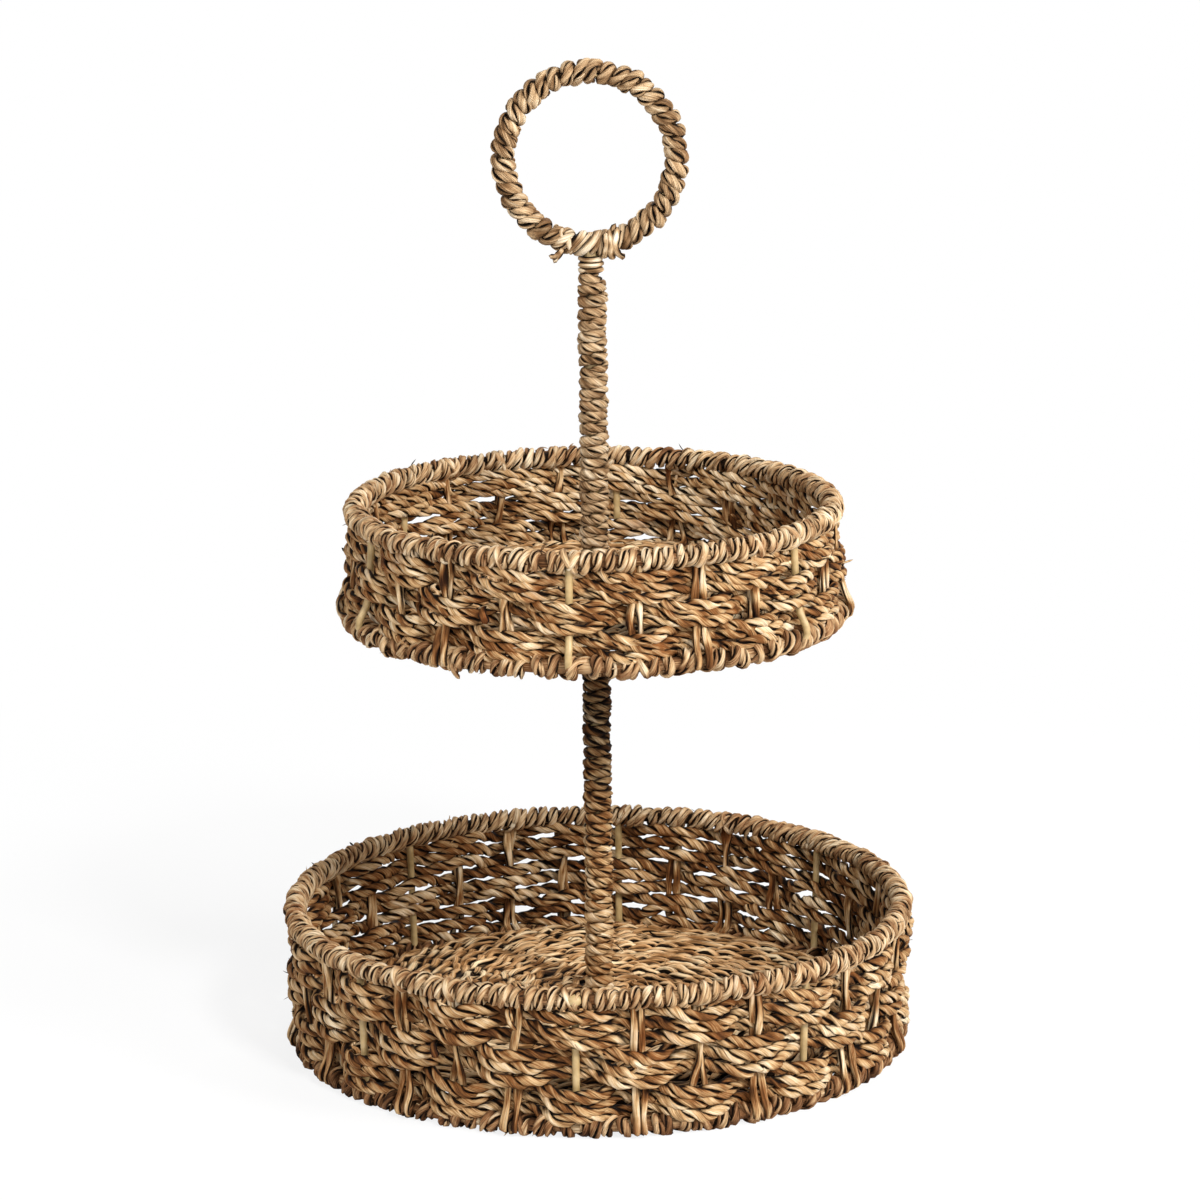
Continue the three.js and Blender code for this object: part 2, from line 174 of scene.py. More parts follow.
# Dried seagrass, twisted by hand: matt leaf with pale fibres along it, darker in its folds, with
# painted shade where the strands meet and painted light on their crowns
def makeSeagrass(name, look):
    material, tree = newMaterial(name)
    uv = addNode(tree, "ShaderNodeUVMap", {"uv_map": "alongStrand"}).outputs["UV"]
    tint, paintedShading = (
        addNode(tree, "ShaderNodeAttribute", {"attribute_name": key}).outputs["Fac"]
        for key in ("tint", "paintedShading")
    )
    place = addNode(tree, "ShaderNodeTexCoord").outputs["Object"]
    # fibres about 0.7 mm wide and 13 mm long, drawn coarser than real ones so that they show
    fibreSpace = addNode(
        tree, "ShaderNodeMapping", inputs={"Scale": (75, 1350, 1)}, links={"Vector": uv}
    )
    fibres = addNoise(tree, fibreSpace.outputs["Vector"], 1.0, 4.0, 0.65)
    # folds of the leaf, dark lines about 1.3 mm apart that run along it for 26 mm
    foldSpace = addNode(
        tree, "ShaderNodeMapping",
        inputs={"Scale": (38, 760, 1), "Location": (3.7, 1.9, 0)}, links={"Vector": uv},
    )
    folds = addNoise(tree, foldSpace.outputs["Vector"], 1.0, 2.0, 0.5, 0.3)
    foldLine = addRange(tree, folds, *look["foldRange"], 0.0)
    # blotches about 14 mm across where the leaf dried darker
    blotches = addNoise(tree, place, 70.0, 2.0, 0.5)
    fibreShare = addRange(tree, fibres, 0.3, 0.7, -look["fibre"], look["fibre"])
    blotchShare = addRange(tree, blotches, 0.3, 0.7, -look["blotch"], 0.7 * look["blotch"])
    # painted light and shade: the crown of a strand is paler than its flanks
    crownLightShare = addRange(tree, paintedShading, 0.35, 1.0, -look["crown"], 0.6 * look["crown"])
    tone = tint
    for share in (fibreShare, blotchShare, crownLightShare):
        tone = addMath(tree, "ADD", tone, share)
    colour = addNode(tree, "ShaderNodeValToRGB", links={"Fac": tone})
    setRamp(colour, look["stops"])
    # reddish leaf here and there, in patches about 25 mm across
    rust = addNoise(tree, place, 38.0, 3.0, 0.6)
    rustShare = addRange(tree, rust, 0.55, 0.72, 0.0, look["rustShare"])
    rusty = mixIn(tree, rustShare, colour.outputs["Color"], look["rust"])
    # painted shade: nearly black where the strands press together, and dark in the folds
    creaseShade = addRange(tree, paintedShading, *look["creaseRange"], 0.0)
    darkShare = addMath(tree, "ADD", creaseShade, foldLine, use_clamp=True)
    shaded = mixIn(tree, darkShare, rusty, look["creaseShadeColour"])
    relief = addNode(
        tree, "ShaderNodeMath", {"operation": "MULTIPLY_ADD"},
        inputs={1: 2.4}, links={0: folds, 2: fibres},
    )
    shader = addNode(
        tree, "ShaderNodeBsdfPrincipled",
        inputs={"Roughness": look["roughness"], "IOR": 1.45, "Specular IOR Level": 0.1},
        links={
            "Base Color": shaded,
            "Normal": addBump(tree, relief.outputs["Value"], 1.0, 0.9 * mm),
        },
    )
    addNode(tree, "ShaderNodeOutputMaterial", links={"Surface": shader.outputs["BSDF"]})
    return material


# Steel wire with a brushed-on satin paint in tan-olive, thin and a little uneven
def makePaintedWire():
    material, tree = newMaterial("satinPaintedSteel")
    cloud = addNoise(
        tree, addNode(tree, "ShaderNodeTexCoord").outputs["Object"], 120.0, 3.0, 0.55
    )
    colour = addNode(tree, "ShaderNodeValToRGB", links={"Fac": cloud})
    setRamp(colour, [(0.3, "#8E7549"), (0.5, "#A98E60"), (0.72, "#BCA377")])
    shader = addNode(
        tree, "ShaderNodeBsdfPrincipled",
        inputs={"IOR": 1.5},
        links={
            "Base Color": colour.outputs["Color"],
            "Roughness": addRange(tree, cloud, 0.3, 0.7, 0.36, 0.52),
            "Normal": addBump(tree, cloud, 0.15, 0.2 * mm),
        },
    )
    addNode(tree, "ShaderNodeOutputMaterial", links={"Surface": shader.outputs["BSDF"]})
    return material


seagrassLooks = {
    # creaseRange and foldRange: where the dark starts and ends, and how dark it gets; the crease
    # dark is painted shade
    "wall": {
        "stops": [(0.0, "#301707"), (0.3, "#7E512B"), (0.54, "#BE996B"), (0.92, "#F1DDBC")],
        "rust": "#84491F", "rustShare": 0.42, "creaseShadeColour": "#0E0501",
        "creaseRange": (0.38, 0.68, 0.99), "foldRange": (0.36, 0.42, 0.32), "blotch": 0.15,
        "fibre": 0.2, "crown": 0.15, "roughness": 0.66,
    },
    "ring": {
        "stops": [(0.0, "#311B0A"), (0.3, "#805838"), (0.56, "#BF9C72"), (0.95, "#F1DFBF")],
        "rust": "#8C5228", "rustShare": 0.34, "creaseShadeColour": "#120802",
        "creaseRange": (0.27, 0.61, 0.98), "foldRange": (0.38, 0.44, 0.4), "blotch": 0.12,
        "fibre": 0.2, "crown": 0.15, "roughness": 0.66,
    },
    "lashing": {
        "stops": [(0.0, "#33210D"), (0.3, "#7E5D3D"), (0.56, "#BC9D77"), (0.94, "#F2E3C8")],
        "rust": "#8B5C38", "rustShare": 0.24, "creaseShadeColour": "#0E0601",
        "creaseRange": (0.36, 0.7, 1.0), "foldRange": (0.37, 0.43, 0.38), "blotch": 0.14,
        "fibre": 0.19, "crown": 0.14, "roughness": 0.64,
    },
    "floor": {
        "stops": [(0.0, "#351D0A"), (0.3, "#8A5F35"), (0.56, "#C89B6A"), (0.98, "#F4DCB2")],
        "rust": "#824B23", "rustShare": 0.45, "creaseShadeColour": "#0E0601",
        "creaseRange": (0.5, 0.8, 0.98), "foldRange": (0.38, 0.44, 0.6), "blotch": 0.18,
        "fibre": 0.28, "crown": 0.18, "roughness": 0.7,
    },
}


# Strands and ropes, all built from a centre line, the direction that faces out, and two radii

waveCount = 8

# how far its unevenness runs in mm, how the folds wander and show in painted light and shade, how
# the painted shade of seams and edges fades
strandLook = {
    "wave": 25, "foldWander": 0.7, "foldCrownLight": 0.055, "foldCrest": 0.12, "seamFade": 0.6,
    "edgeFade": 0.55,
}


def ripple(share, seed, slowest, fastest, size):
    # smooth unevenness that closes on itself, because its waves have whole turns
    rng = np.random.default_rng(seed)
    turns = rng.integers(slowest, fastest + 1, waveCount)
    phases = rng.uniform(0, fullTurn, waveCount)
    return size * np.sin(fullTurn * np.outer(share, turns) + phases).sum(axis=1) / 2


def unit(rows):
    return rows / np.linalg.norm(rows, axis=1)[:, None]


def lengthsAlong(points, closed):
    # distance from the start to each point, and the whole length
    gaps = np.linalg.norm(np.roll(points, -1, axis=0) - points, axis=1)
    if not closed:
        gaps = gaps[:-1]
    return np.concatenate([[0], np.cumsum(gaps)])[:len(points)], gaps.sum()


def axesAlong(points, outward, closed):
    # the directions out and sideways at each point, then what lengthsAlong gives
    if closed:
        tangent = unit(np.roll(points, -1, axis=0) - np.roll(points, 1, axis=0))
    else:
        tangent = unit(np.gradient(points, axis=0))
    out = unit(outward - (outward * tangent).sum(axis=1)[:, None] * tangent)
    return out, np.cross(out, tangent), *lengthsAlong(points, closed)


def swingRound(about, first, second):
    # directions that turn from the first towards the second
    return np.cos(about)[:, None] * first + np.sin(about)[:, None] * second


def polar(radius, angle, height):
    return np.stack(
        [radius * np.cos(angle), radius * np.sin(angle), height + 0 * angle], axis=-1
    )


def spokesAt(angle):
    return np.stack([np.cos(angle), np.sin(angle), 0 * angle], axis=-1)


def newBundle():
    return {"points": [], "quads": [], "uvs": [], "tint": [], "paintedShading": [], "count": 0}


def addStrand(bundle, centres, outward, thick, wide, seed, tint, sides, closed=True,
              folds=3, foldDepth=0.07, foldTurns=5.0, unevenness=0.07, taper=4 * mm,
              allRound=False, ropeOut=None, seamWidth=0.28, edgeShade=0.0, tintWander=0.13,
              grooveShade=0.0, shadeAt=None):
    # thick and wide are half sizes in mm
    thick, wide = thick * mm, wide * mm
    out, side, along, total = axesAlong(centres, outward, closed)
    share = along / total
    count = len(centres)
    waves = max(3, int(total / (strandLook["wave"] * mm)))
    swell = 1 + ripple(share, seed, 1, waves, unevenness)
    spread = 1 + ripple(share, seed + 1, 1, waves, unevenness)
    wander = ripple(share, seed + 2, 1, waves, strandLook["foldWander"])
    turn = fullTurn * round(foldTurns * total) * share + wander
    angles = math.pi + fullTurn * np.arange(sides) / sides  # the seam is on the inner side
    fold = np.cos(folds * angles + turn[:, None])
    section = 1 + foldDepth * fold
    ends = 1.0
    if not closed:
        ends = np.sqrt(np.clip(np.minimum(along, total - along) / taper, 0.02, 1.0))
    cosines, sines = np.cos(angles), np.sin(angles)
    radial = (thick * swell * ends)[:, None] * section * cosines
    lateral = (wide * spread * ends)[:, None] * section * sines
    points = centres[:, None] + radial[..., None] * out[:, None]
    points = points + lateral[..., None] * side[:, None]
    rows = count if closed else count - 1
    row, column = np.arange(rows)[:, None], np.arange(sides)
    nextColumn = (column + 1) % sides
    here = bundle["count"] + row * sides
    there = bundle["count"] + (row + 1) % count * sides
    quads = np.stack(
        [here + column, there + column, there + nextColumn, here + nextColumn], axis=-1
    ).reshape(-1, 4)
    around = fullTurn * (thick + wide) / 2
    distance = np.concatenate([along, [total]])
    offset = (seed % 97) * 0.31  # so that no two strands share their fibres
    low, high = distance[row], distance[row + 1]
    left, right = column / sides * around + offset, (column + 1) / sides * around + offset
    corners = np.broadcast_arrays(low, left, high, left, high, right, low, right)
    uvs = np.stack(corners, axis=-1).reshape(-1, 4, 2)
    # painted light and shade: each fold is a little paler on its crown than in its groove
    tints = tint + ripple(share, seed + 3, 1, waves, tintWander)[:, None]
    tints = tints + strandLook["foldCrownLight"] * fold
    # painted light and shade: paler where the strand faces out, darker towards its inner side
    paintedShadings = 0.5 + 0.5 * cosines
    if allRound:  # seen from inside the tray as well, so both faces get the painted light
        paintedShadings = np.sqrt(np.abs(cosines))
    if ropeOut is not None:  # painted shade: a ply is dark only where it meets its neighbours
        bare = (out * ropeOut).sum(axis=1)[:, None] * cosines
        bare = np.abs(bare + (side * ropeOut).sum(axis=1)[:, None] * sines)
        seam = np.clip((cosines + 1 - seamWidth) / strandLook["seamFade"], 0, 1)
        # painted shade: and where the rope turns away towards the next one
        edge = 1 - edgeShade * (1 - np.clip(bare / strandLook["edgeFade"], 0, 1))
        paintedShadings = np.maximum(cosines, bare) * seam * edge
    paintedShadings = np.clip(paintedShadings + strandLook["foldCrest"] * fold, 0, 1)
    paintedShadings = paintedShadings * (1 - grooveShade * (1 - fold) / 2)
    if shadeAt is not None:  # painted shade: darker where the strand dives in among the others, passes under another, or lies under the upper tray
        paintedShadings = paintedShadings * shadeAt(points)
    bundle["points"].append(points.reshape(-1, 3))
    bundle["quads"].append(quads)
    bundle["uvs"].append(uvs)
    bundle["tint"].append(tints.reshape(-1))
    bundle["paintedShading"].append(np.broadcast_to(paintedShadings, (count, sides)).reshape(-1))
    bundle["count"] += count * sides


# what a rope's look hands on to its two plies
plyKeys = ("sides", "foldDepth", "unevenness", "seamWidth", "tintWander", "edgeShade")


def addRope(bundle, centres, outward, rope, seed, tint, closed=True, shadeAt=None):
    # two plies twisted together, each ply a strand that swings round the centre line
    out, up, along, total = axesAlong(centres, outward, closed)
    share = along / total
    turns = max(1, round(total / (rope["lay"] * mm)))
    firstTurn = fullTurn * ((seed * 0.618) % 1)
    angle = -fullTurn * turns * share
    angle = angle + firstTurn + ripple(share, seed + 7, 1, turns, 0.25)
    offset = rope["plyOffset"] * mm
    for ply in (0, 1):
        here = angle + math.pi * ply
        swung = (
            centres
            + (offset * rope["flatten"] * np.cos(here))[:, None] * out
            + (offset * np.sin(here))[:, None] * up
        )
        addStrand(
            bundle, swung, swingRound(here, out, up), *rope["plySize"], seed * 11 + ply * 5,
            tint + (0.5 - ply) * rope["plyTint"], closed=closed, ropeOut=out, shadeAt=shadeAt,
            **{key: rope[key] for key in plyKeys},
        )


def smoothPath(corners, step):
    # a line along the corner points, with its corners cut three times
    corners = np.array(corners, float)
    for _ in range(3):
        first, second = corners[:-1], corners[1:]
        cut = np.stack([0.75 * first + 0.25 * second, 0.25 * first + 0.75 * second], axis=1)
        corners = np.concatenate([corners[:1], cut.reshape(-1, 3)[1:-1], corners[-1:]])
    along, total = lengthsAlong(corners, False)
    wanted = np.linspace(0, total, max(4, int(total / step)))
    return np.stack([np.interp(wanted, along, corners[:, i]) for i in range(3)], axis=1)


def settle(piece, slot, *replaced):
    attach(piece, "root")
    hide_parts(*replaced)


def makePiece(pieceName, node, bundle, material):
    points = np.concatenate(bundle["points"])
    points[:, 2] = np.maximum(points[:, 2], 0.1 * mm)  # nothing goes below what it stands on
    quads = np.concatenate(bundle["quads"])
    mesh = bpy.data.meshes.new(pieceName)
    mesh.vertices.add(len(points))
    mesh.vertices.foreach_set("co", points.astype(np.float32).ravel())
    mesh.loops.add(quads.size)
    mesh.loops.foreach_set("vertex_index", quads.astype(np.int32).ravel())
    mesh.polygons.add(len(quads))
    mesh.polygons.foreach_set("loop_start", np.arange(0, quads.size, 4, dtype=np.int32))
    mesh.update(calc_edges=True)
    mesh.polygons.foreach_set("use_smooth", np.ones(len(quads), dtype=bool))
    layer = mesh.uv_layers.new(name="alongStrand")
    layer.uv.foreach_set("vector", np.concatenate(bundle["uvs"]).astype(np.float32).ravel())
    for name in ("tint", "paintedShading"):
        values = np.concatenate(bundle[name]).astype(np.float32)
        mesh.attributes.new(name, "FLOAT", "POINT").data.foreach_set("value", values)
    mesh.materials.append(material)
    print(pieceName, "triangles:", 2 * len(quads))
    settle(addObject(pieceName, mesh), "seagrass", node)


# Where the frame puts the trays

def ringOf(node):
    low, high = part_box(node)
    half = (high.z - low.z) / 2
    return {"radius": (high.x - low.x) / 2 - half, "height": (high.z + low.z) / 2, "half": half}


def trayShape(name, uprights):
    rim, base = ringOf(name + "_rim_wrap"), ringOf(name + "_base_wrap")
    low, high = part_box(name + "_upright_1")
    middle = (low + high) / 2
    slope = (rim["radius"] - base["radius"]) / (rim["height"] - base["height"])
    matLow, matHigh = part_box(name + "_floor_mat")
    return {
        "name": name,
        "uprights": uprights,
        "stakes": 4 * uprights,
        "rim": rim,
        "base": base,
        "firstAngle": math.atan2(middle.y, middle.x),
        "wallRadius": lambda z: base["radius"] + slope * (z - base["height"]),
        "matEdge": matHigh.x,
        "matLow": matLow.z,
        "matHigh": matHigh.z,
    }


# Loose leaf ends that stand off the ropes

frays = {
    # the longest and the widest in mm, and how pale
    "wall": (5.5, 0.9, (0.3, 0.62)),
    "leafBit": (8.0, 1.4, (0.2, 0.45)),
    "lashing": (5.2, 0.95, (0.25, 0.65)),
    "mat": (9.0, 1.5, (0.35, 0.7)),
}


def scatterFrays(bundle, count, seed, placeAt, kind):
    # thin blades that leave the rope along their heading and bend towards their curl
    longest, widest, tones = frays[kind]
    rng = np.random.default_rng(seed)
    along = np.linspace(0, 1, 6)
    for i in range(count):
        start, outward, sideways = placeAt(rng)
        heading = 0.55 * outward + rng.choice((-1, 1)) * sideways + rng.normal(0, 0.35, 3)
        heading /= np.linalg.norm(heading)
        curl = rng.normal(0, 0.5, 3) + 0.3 * outward
        length = rng.uniform(0.35, 1.0) * longest * mm
        width = rng.uniform(0.35, 1.0) * widest
        bent = (0.5 * length * along ** 2)[:, None] * curl
        centres = start + (length * along)[:, None] * heading + bent
        addStrand(
            bundle, centres, np.cross(heading, curl) + 0.3 * curl, 0.22, width, seed + 5 * i,
            rng.uniform(*tones), closed=False, sides=4, folds=2, foldDepth=0.0,
            unevenness=0.0, taper=0.6 * length,
        )


# Knots and tucked-in ends. Each strand has its corner points (across, out, up) in mm, then how
# thick and wide it is in mm, and its tint

knotShapes = {
    "knot": (
        (
            ((-8, 1, -1), (-5, 5, 3), (0, 6.5, 4.5), (4, 6, 0), (1, 5.5, -4), (-5, 3, -4)),
            1.5, 2.1, 0.5,
        ),
        (((-3, 3, 6), (1, 7, 4), (6, 7, -1), (10, 5, -2), (14, 1, 0)), 1.5, 2.2, 0.58),
        (((4, 2, -6), (3, 6.5, -1), (0, 7.5, 3), (-2, 5, 7)), 1.3, 1.9, 0.44),
    ),
    "redLeaf": ((((-3, 1, 3), (-2, 5.5, 2), (0, 7, -1), (1.5, 7, -4)), 0.9, 2.3, 0.12),),
    "tail": (
        (((-2, 2, 5), (-1, 6.5, 1), (1, 6.5, -6), (6, 5.5, -11)), 1.1, 2.3, 0.4),
        (((0, 2, 5), (2, 6, 0), (3, 6, -5), (4, 5, -8)), 1.0, 1.8, 0.3),
    ),
}

trayKnots = {
    # shape, degrees round the tray, height in mm, size
    "lower_band_middle": (("knot", -84.5, 47.0, 1.0), ("redLeaf", -120.0, 50.0, 1.2)),
    "lower_band_top": (("tail", -106.0, 77.0, 0.8),),
    "upper_band_middle": (("redLeaf", -114.5, 314.0, 1.2),),
    "upper_base_wrap": (("knot", -172.0, 289.0, 1.25), ("tail", -123.0, 282.0, 0.85)),
}


def addTwists(bundle, origin, across, out, twists, size, seed):
    for i, (corners, thick, wide, tint) in enumerate(twists):
        points = [
            origin + size * mm * (a * across + o * out + u * upward) for a, o, u in corners
        ]
        path = smoothPath(points, 1.3 * mm)
        facing = path - path.mean(axis=0) + 4 * mm * out
        addStrand(
            bundle, path, facing, size * thick, size * wide, seed + 6 * i, tint,
            closed=False, sides=8, foldDepth=0.14, taper=1.2 * mm, allRound=True,
        )


def addKnots(bundle, node, tray):
    for i, (shape, degrees, height, size) in enumerate(trayKnots.get(node, ())):
        angle = math.radians(degrees)
        out = spokesAt(angle)
        across = np.cross(upward, out)
        origin = tray["wallRadius"](height * mm) * out + height * mm * upward
        addTwists(bundle, origin, across, out, knotShapes[shape], size, 950 + 40 * i)


# Woven walls: three bands of three two-ply ropes in each tray

wallRope = {
    "flatten": 0.8, "sides": 12, "foldDepth": 0.12, "unevenness": 0.12,
    "plyTint": 0.06, "tintWander": 0.11, "tintSpread": 0.07, "edgeShade": 0.62, "leafBits": 3,
    "steepness": 1.5, "sagSpread": 0.35, "shadeOutside": 0.57, "clearOf": 8.0,
}

wallRopes = {
    "lower": {
        **wallRope, "lay": 26.0, "plyOffset": 2.05, "plySize": (2.15, 2.9),
        "seamWidth": 0.1, "step": 2.0, "swing": 4.2, "stagger": 0.5, "tuck": 0.0,
        "wander": 1.0, "wobble": 0.3, "droop": 1.8, "tint": 0.415, "sideLightShare": 0.09, "sideLightAt": -30,
        "shadeInside": 0.64, "lowest": 13.7, "overUprights": (1, -1, 1), "frays": 24,
    },
    "upper": {
        **wallRope, "lay": 25.5, "plyOffset": 1.85, "plySize": (1.9, 2.6),
        "seamWidth": 0.08, "step": 1.8, "swing": 3.7, "stagger": 0.9, "tuck": 1.2,
        "wander": 0.9, "wobble": 0.25, "droop": 1.1, "tint": 0.43, "sideLightShare": 0.13, "sideLightAt": 75,
        "shadeInside": 1.0, "lowest": 13.4, "overUprights": (-1, 1, -1), "frays": 18,
    },
}


def weaveWall(tray, look, material):
    name = tray["name"]
    lowest = tray["base"]["height"] - tray["base"]["half"] + look["lowest"] * mm
    bandLow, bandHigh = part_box(name + "_band_top")
    highest = bandHigh.z - (bandHigh.z - bandLow.z) / 6

    def paintedDiveShade(points):
        # painted shade: ropes are darker where they dive in to swap sides, less so on the open
        # inner face
        radius = np.hypot(points[..., 0], points[..., 1]) + look["tuck"] * mm
        off = radius - tray["wallRadius"](points[..., 2])
        least = np.where(off < 0, look["shadeInside"], look["shadeOutside"])
        return np.clip(least + np.abs(off) / (look["clearOf"] * mm), 0, 1)

    for band, place in enumerate(("bottom", "middle", "top")):
        node = name + "_band_" + place
        bundle = newBundle()
        for row in range(3):
            seed = 1000 * (1 + band) + 100 * row + (7 if name == "upper" else 0)
            rng = np.random.default_rng(seed)
            height = lowest + (3 * band + row) / 8 * (highest - lowest)
            middle = tray["wallRadius"](height)
            count = round(fullTurn * middle / (look["step"] * mm))
            share = np.arange(count) / count
            angle = tray["firstAngle"] + fullTurn * share
            beat = np.cos(tray["stakes"] / 2 * fullTurn * share)
            steep = look["steepness"]
            weave = np.tanh(steep * beat) / math.tanh(steep) * look["overUprights"][band]
            swing = look["swing"] + look["stagger"] * (row - 1) * rng.choice((-1, 1))
            radius = middle + swing * mm * weave - look["tuck"] * mm
            radius += ripple(share, seed, 5, 40, 0.35 * mm)
            sag = 1 + ripple(share, 900 + band, 2, tray["stakes"] // 2, look["sagSpread"])
            wandered = height - look["droop"] * mm * weave * sag
            wandered += ripple(share, seed + 1, 3, tray["stakes"], look["wander"] * mm)
            wandered += ripple(share, seed + 2, 30, 80, look["wobble"] * mm)
            centres = polar(radius, angle, wandered)
            # painted light: the grass is paler on one side of the tray, where more light falls
            facingSideLight = np.clip(np.cos(angle - math.radians(look["sideLightAt"])), 0, 1) ** 2
            tint = look["tint"] + rng.uniform(-look["tintSpread"], look["tintSpread"])
            tint = tint + look["sideLightShare"] * facingSideLight[:, None]
            addRope(bundle, centres, spokesAt(angle), look, seed, tint, shadeAt=paintedDiveShade)

            def onRope(rng):
                at = rng.integers(0, len(centres))
                out = spokesAt(angle[at:at + 1])[0]
                face = rng.choice((-1, 1), p=(0.3, 0.7))
                across = face * 2.6 * mm * out + rng.uniform(-1, 1) * 2.4 * mm * upward
                return centres[at] + across, face * out, np.cross(upward, out)

            scatterFrays(bundle, look["frays"], seed + 40, onRope, "wall")
            scatterFrays(bundle, look["leafBits"], seed + 41, onRope, "leafBit")
        addKnots(bundle, node, tray)
        makePiece(node + "_ropes", node, bundle, material)


# Lashings: a thin two-ply rope wound close round the rim and base rings, over a dark core that is
# painted shade in the gaps between the turns

lashingRope = {
    "flatten": 0.55, "sides": 10, "foldDepth": 0.16, "stepsPerTurn": 20,
    "core": 4.0, "reach": 4.8,
    "loopFrom": (-0.56, -0.5), "loopTo": (0.45, 0.6), "loopLeans": (-1.6, -1.0, 1.2),
    "loopLean": 2.2, "loopOff": 1.2, "loopTint": 0.12,
}

lashings = {
    "rim": {
        **lashingRope, "pitch": 7.1, "lay": 25.0, "plyOffset": 1.6,
        "plySize": (1.45, 2.1), "plyTint": 0.06, "tintWander": 0.09, "seamWidth": 0.08,
        "edgeShade": 0.45, "unevenness": 0.13, "jitter": 0.7, "lean": -0.9, "lift": 0.5,
        "loop": (1.6, 2.3), "loopShare": 0.75, "tint": 0.51, "upperLightShare": 0.02, "frays": 56,
    },
    "base": {
        **lashingRope, "pitch": 8.6, "lay": 27.0, "plyOffset": 1.9,
        "plySize": (1.65, 2.5), "plyTint": 0.08, "tintWander": 0.13, "seamWidth": 0.1,
        "edgeShade": 0.5, "unevenness": 0.14, "jitter": 1.7, "lean": -1.0, "lift": 0.75,
        "loop": (1.9, 2.6), "loopShare": 0.9, "tint": 0.235, "upperLightShare": 0.195, "frays": 60,
    },
}


def lashRing(tray, which, look, material):
    ring = tray[which]
    node = tray["name"] + "_" + which + "_wrap"
    bundle = newBundle()
    radius, height = ring["radius"], ring["height"]
    coreCount = 160
    angle = fullTurn * np.arange(coreCount) / coreCount
    core, seed = look["core"], sum(map(ord, node))
    # painted shade: the lower tray's base lashing is much darker, as in shade; the upper tray's
    # lashings are paler
    tint = look["tint"] + (look["upperLightShare"] if tray["name"] == "upper" else 0)
    # painted shade: a dark core, seen only in the gaps between the turns
    addStrand(
        bundle, polar(radius, angle, height), spokesAt(angle), core, core, seed, 0.3,
        sides=8, folds=2, foldDepth=0.03,
    )
    turns = round(fullTurn * radius / (look["pitch"] * mm))
    count = turns * look["stepsPerTurn"]
    share = np.arange(count) / count
    about = fullTurn * turns * share
    jitter = ripple(share, seed * 3, turns // 4, turns, look["jitter"] * mm / radius)
    lean = look["lean"] * mm / radius * np.sin(about)
    angle = fullTurn * share + jitter + lean
    lift = ripple(share, seed * 3 + 1, turns // 3, 2 * turns, look["lift"] * mm)
    reach = look["reach"] * mm + lift
    facing = swingRound(about, spokesAt(angle), upward)
    centres = polar(radius, angle, height) + reach[:, None] * facing
    addRope(bundle, centres, facing, look, seed, tint)
    # a fat loop beside each stake, leaning the other way
    rng = np.random.default_rng(seed)
    for i in range(tray["stakes"]):
        if rng.uniform() > look["loopShare"]:
            continue
        middle = tray["firstAngle"] + fullTurn * (i + rng.uniform(-0.12, 0.12)) / tray["stakes"]
        start, end = rng.uniform(*look["loopFrom"]), rng.uniform(*look["loopTo"])
        about = np.linspace(start, end, 24) * fullTurn
        lean = rng.choice(look["loopLeans"]) * look["loopLean"] * mm / radius
        angle = middle + lean * np.sin(about)
        facing = swingRound(about, spokesAt(angle), upward)
        reach = (look["reach"] + look["loopOff"]) * mm
        addStrand(
            bundle, polar(radius, angle, height) + reach * facing, facing, *look["loop"],
            seed + 77 * i, tint + rng.uniform(-look["loopTint"], look["loopTint"]),
            closed=False, sides=8, foldDepth=0.12, unevenness=0.1,
        )

    def onLashing(rng):
        angle = np.array([rng.uniform(0, fullTurn)])
        about = rng.uniform(-0.3, 0.55) * math.pi
        out = spokesAt(angle)[0]
        facing = math.cos(about) * out + math.sin(about) * upward
        return polar(radius, angle, height)[0] + 6.0 * mm * facing, facing, np.cross(upward, out)

    scatterFrays(bundle, look["frays"], seed + 9, onLashing, "lashing")
    addKnots(bundle, node, tray)
    makePiece(node + "_leaf", node, bundle, material)


# Floors: rounds of two strands that swap over and under each other

floorMats = {
    "lower": {
        "pitch": 8.9, "thick": 1.9, "wide": 2.75, "step": 2.6, "rise": 1.7, "swing": 2.6,
        "lens": 14.5, "hub": 62.0, "innermost": 13.3, "sides": 8, "frays": 130,
    },
    "upper": {
        "pitch": 8.4, "thick": 1.85, "wide": 2.65, "step": 2.3, "rise": 1.6, "swing": 2.5,
        "lens": 14.0, "hub": 50.0, "innermost": 13.1, "sides": 8, "frays": 90,
    },
}

matThickness = 4.5


def floorHeight(tray, look, radius):
    # the middle line of the mat: level over the hub, then falling to the edge
    thickness = matThickness * mm
    top, edge = tray["matHigh"] - thickness / 2, tray["matLow"] + thickness / 2
    share = np.clip((radius - look["hub"] * mm) / (tray["matEdge"] - look["hub"] * mm), 0, 1)
    # past the edge the outer rounds drop to the base ring
    drop = 0.45 * np.clip(radius - tray["matEdge"] + 12 * mm, 0, None)
    return top - (top - edge) * share - drop


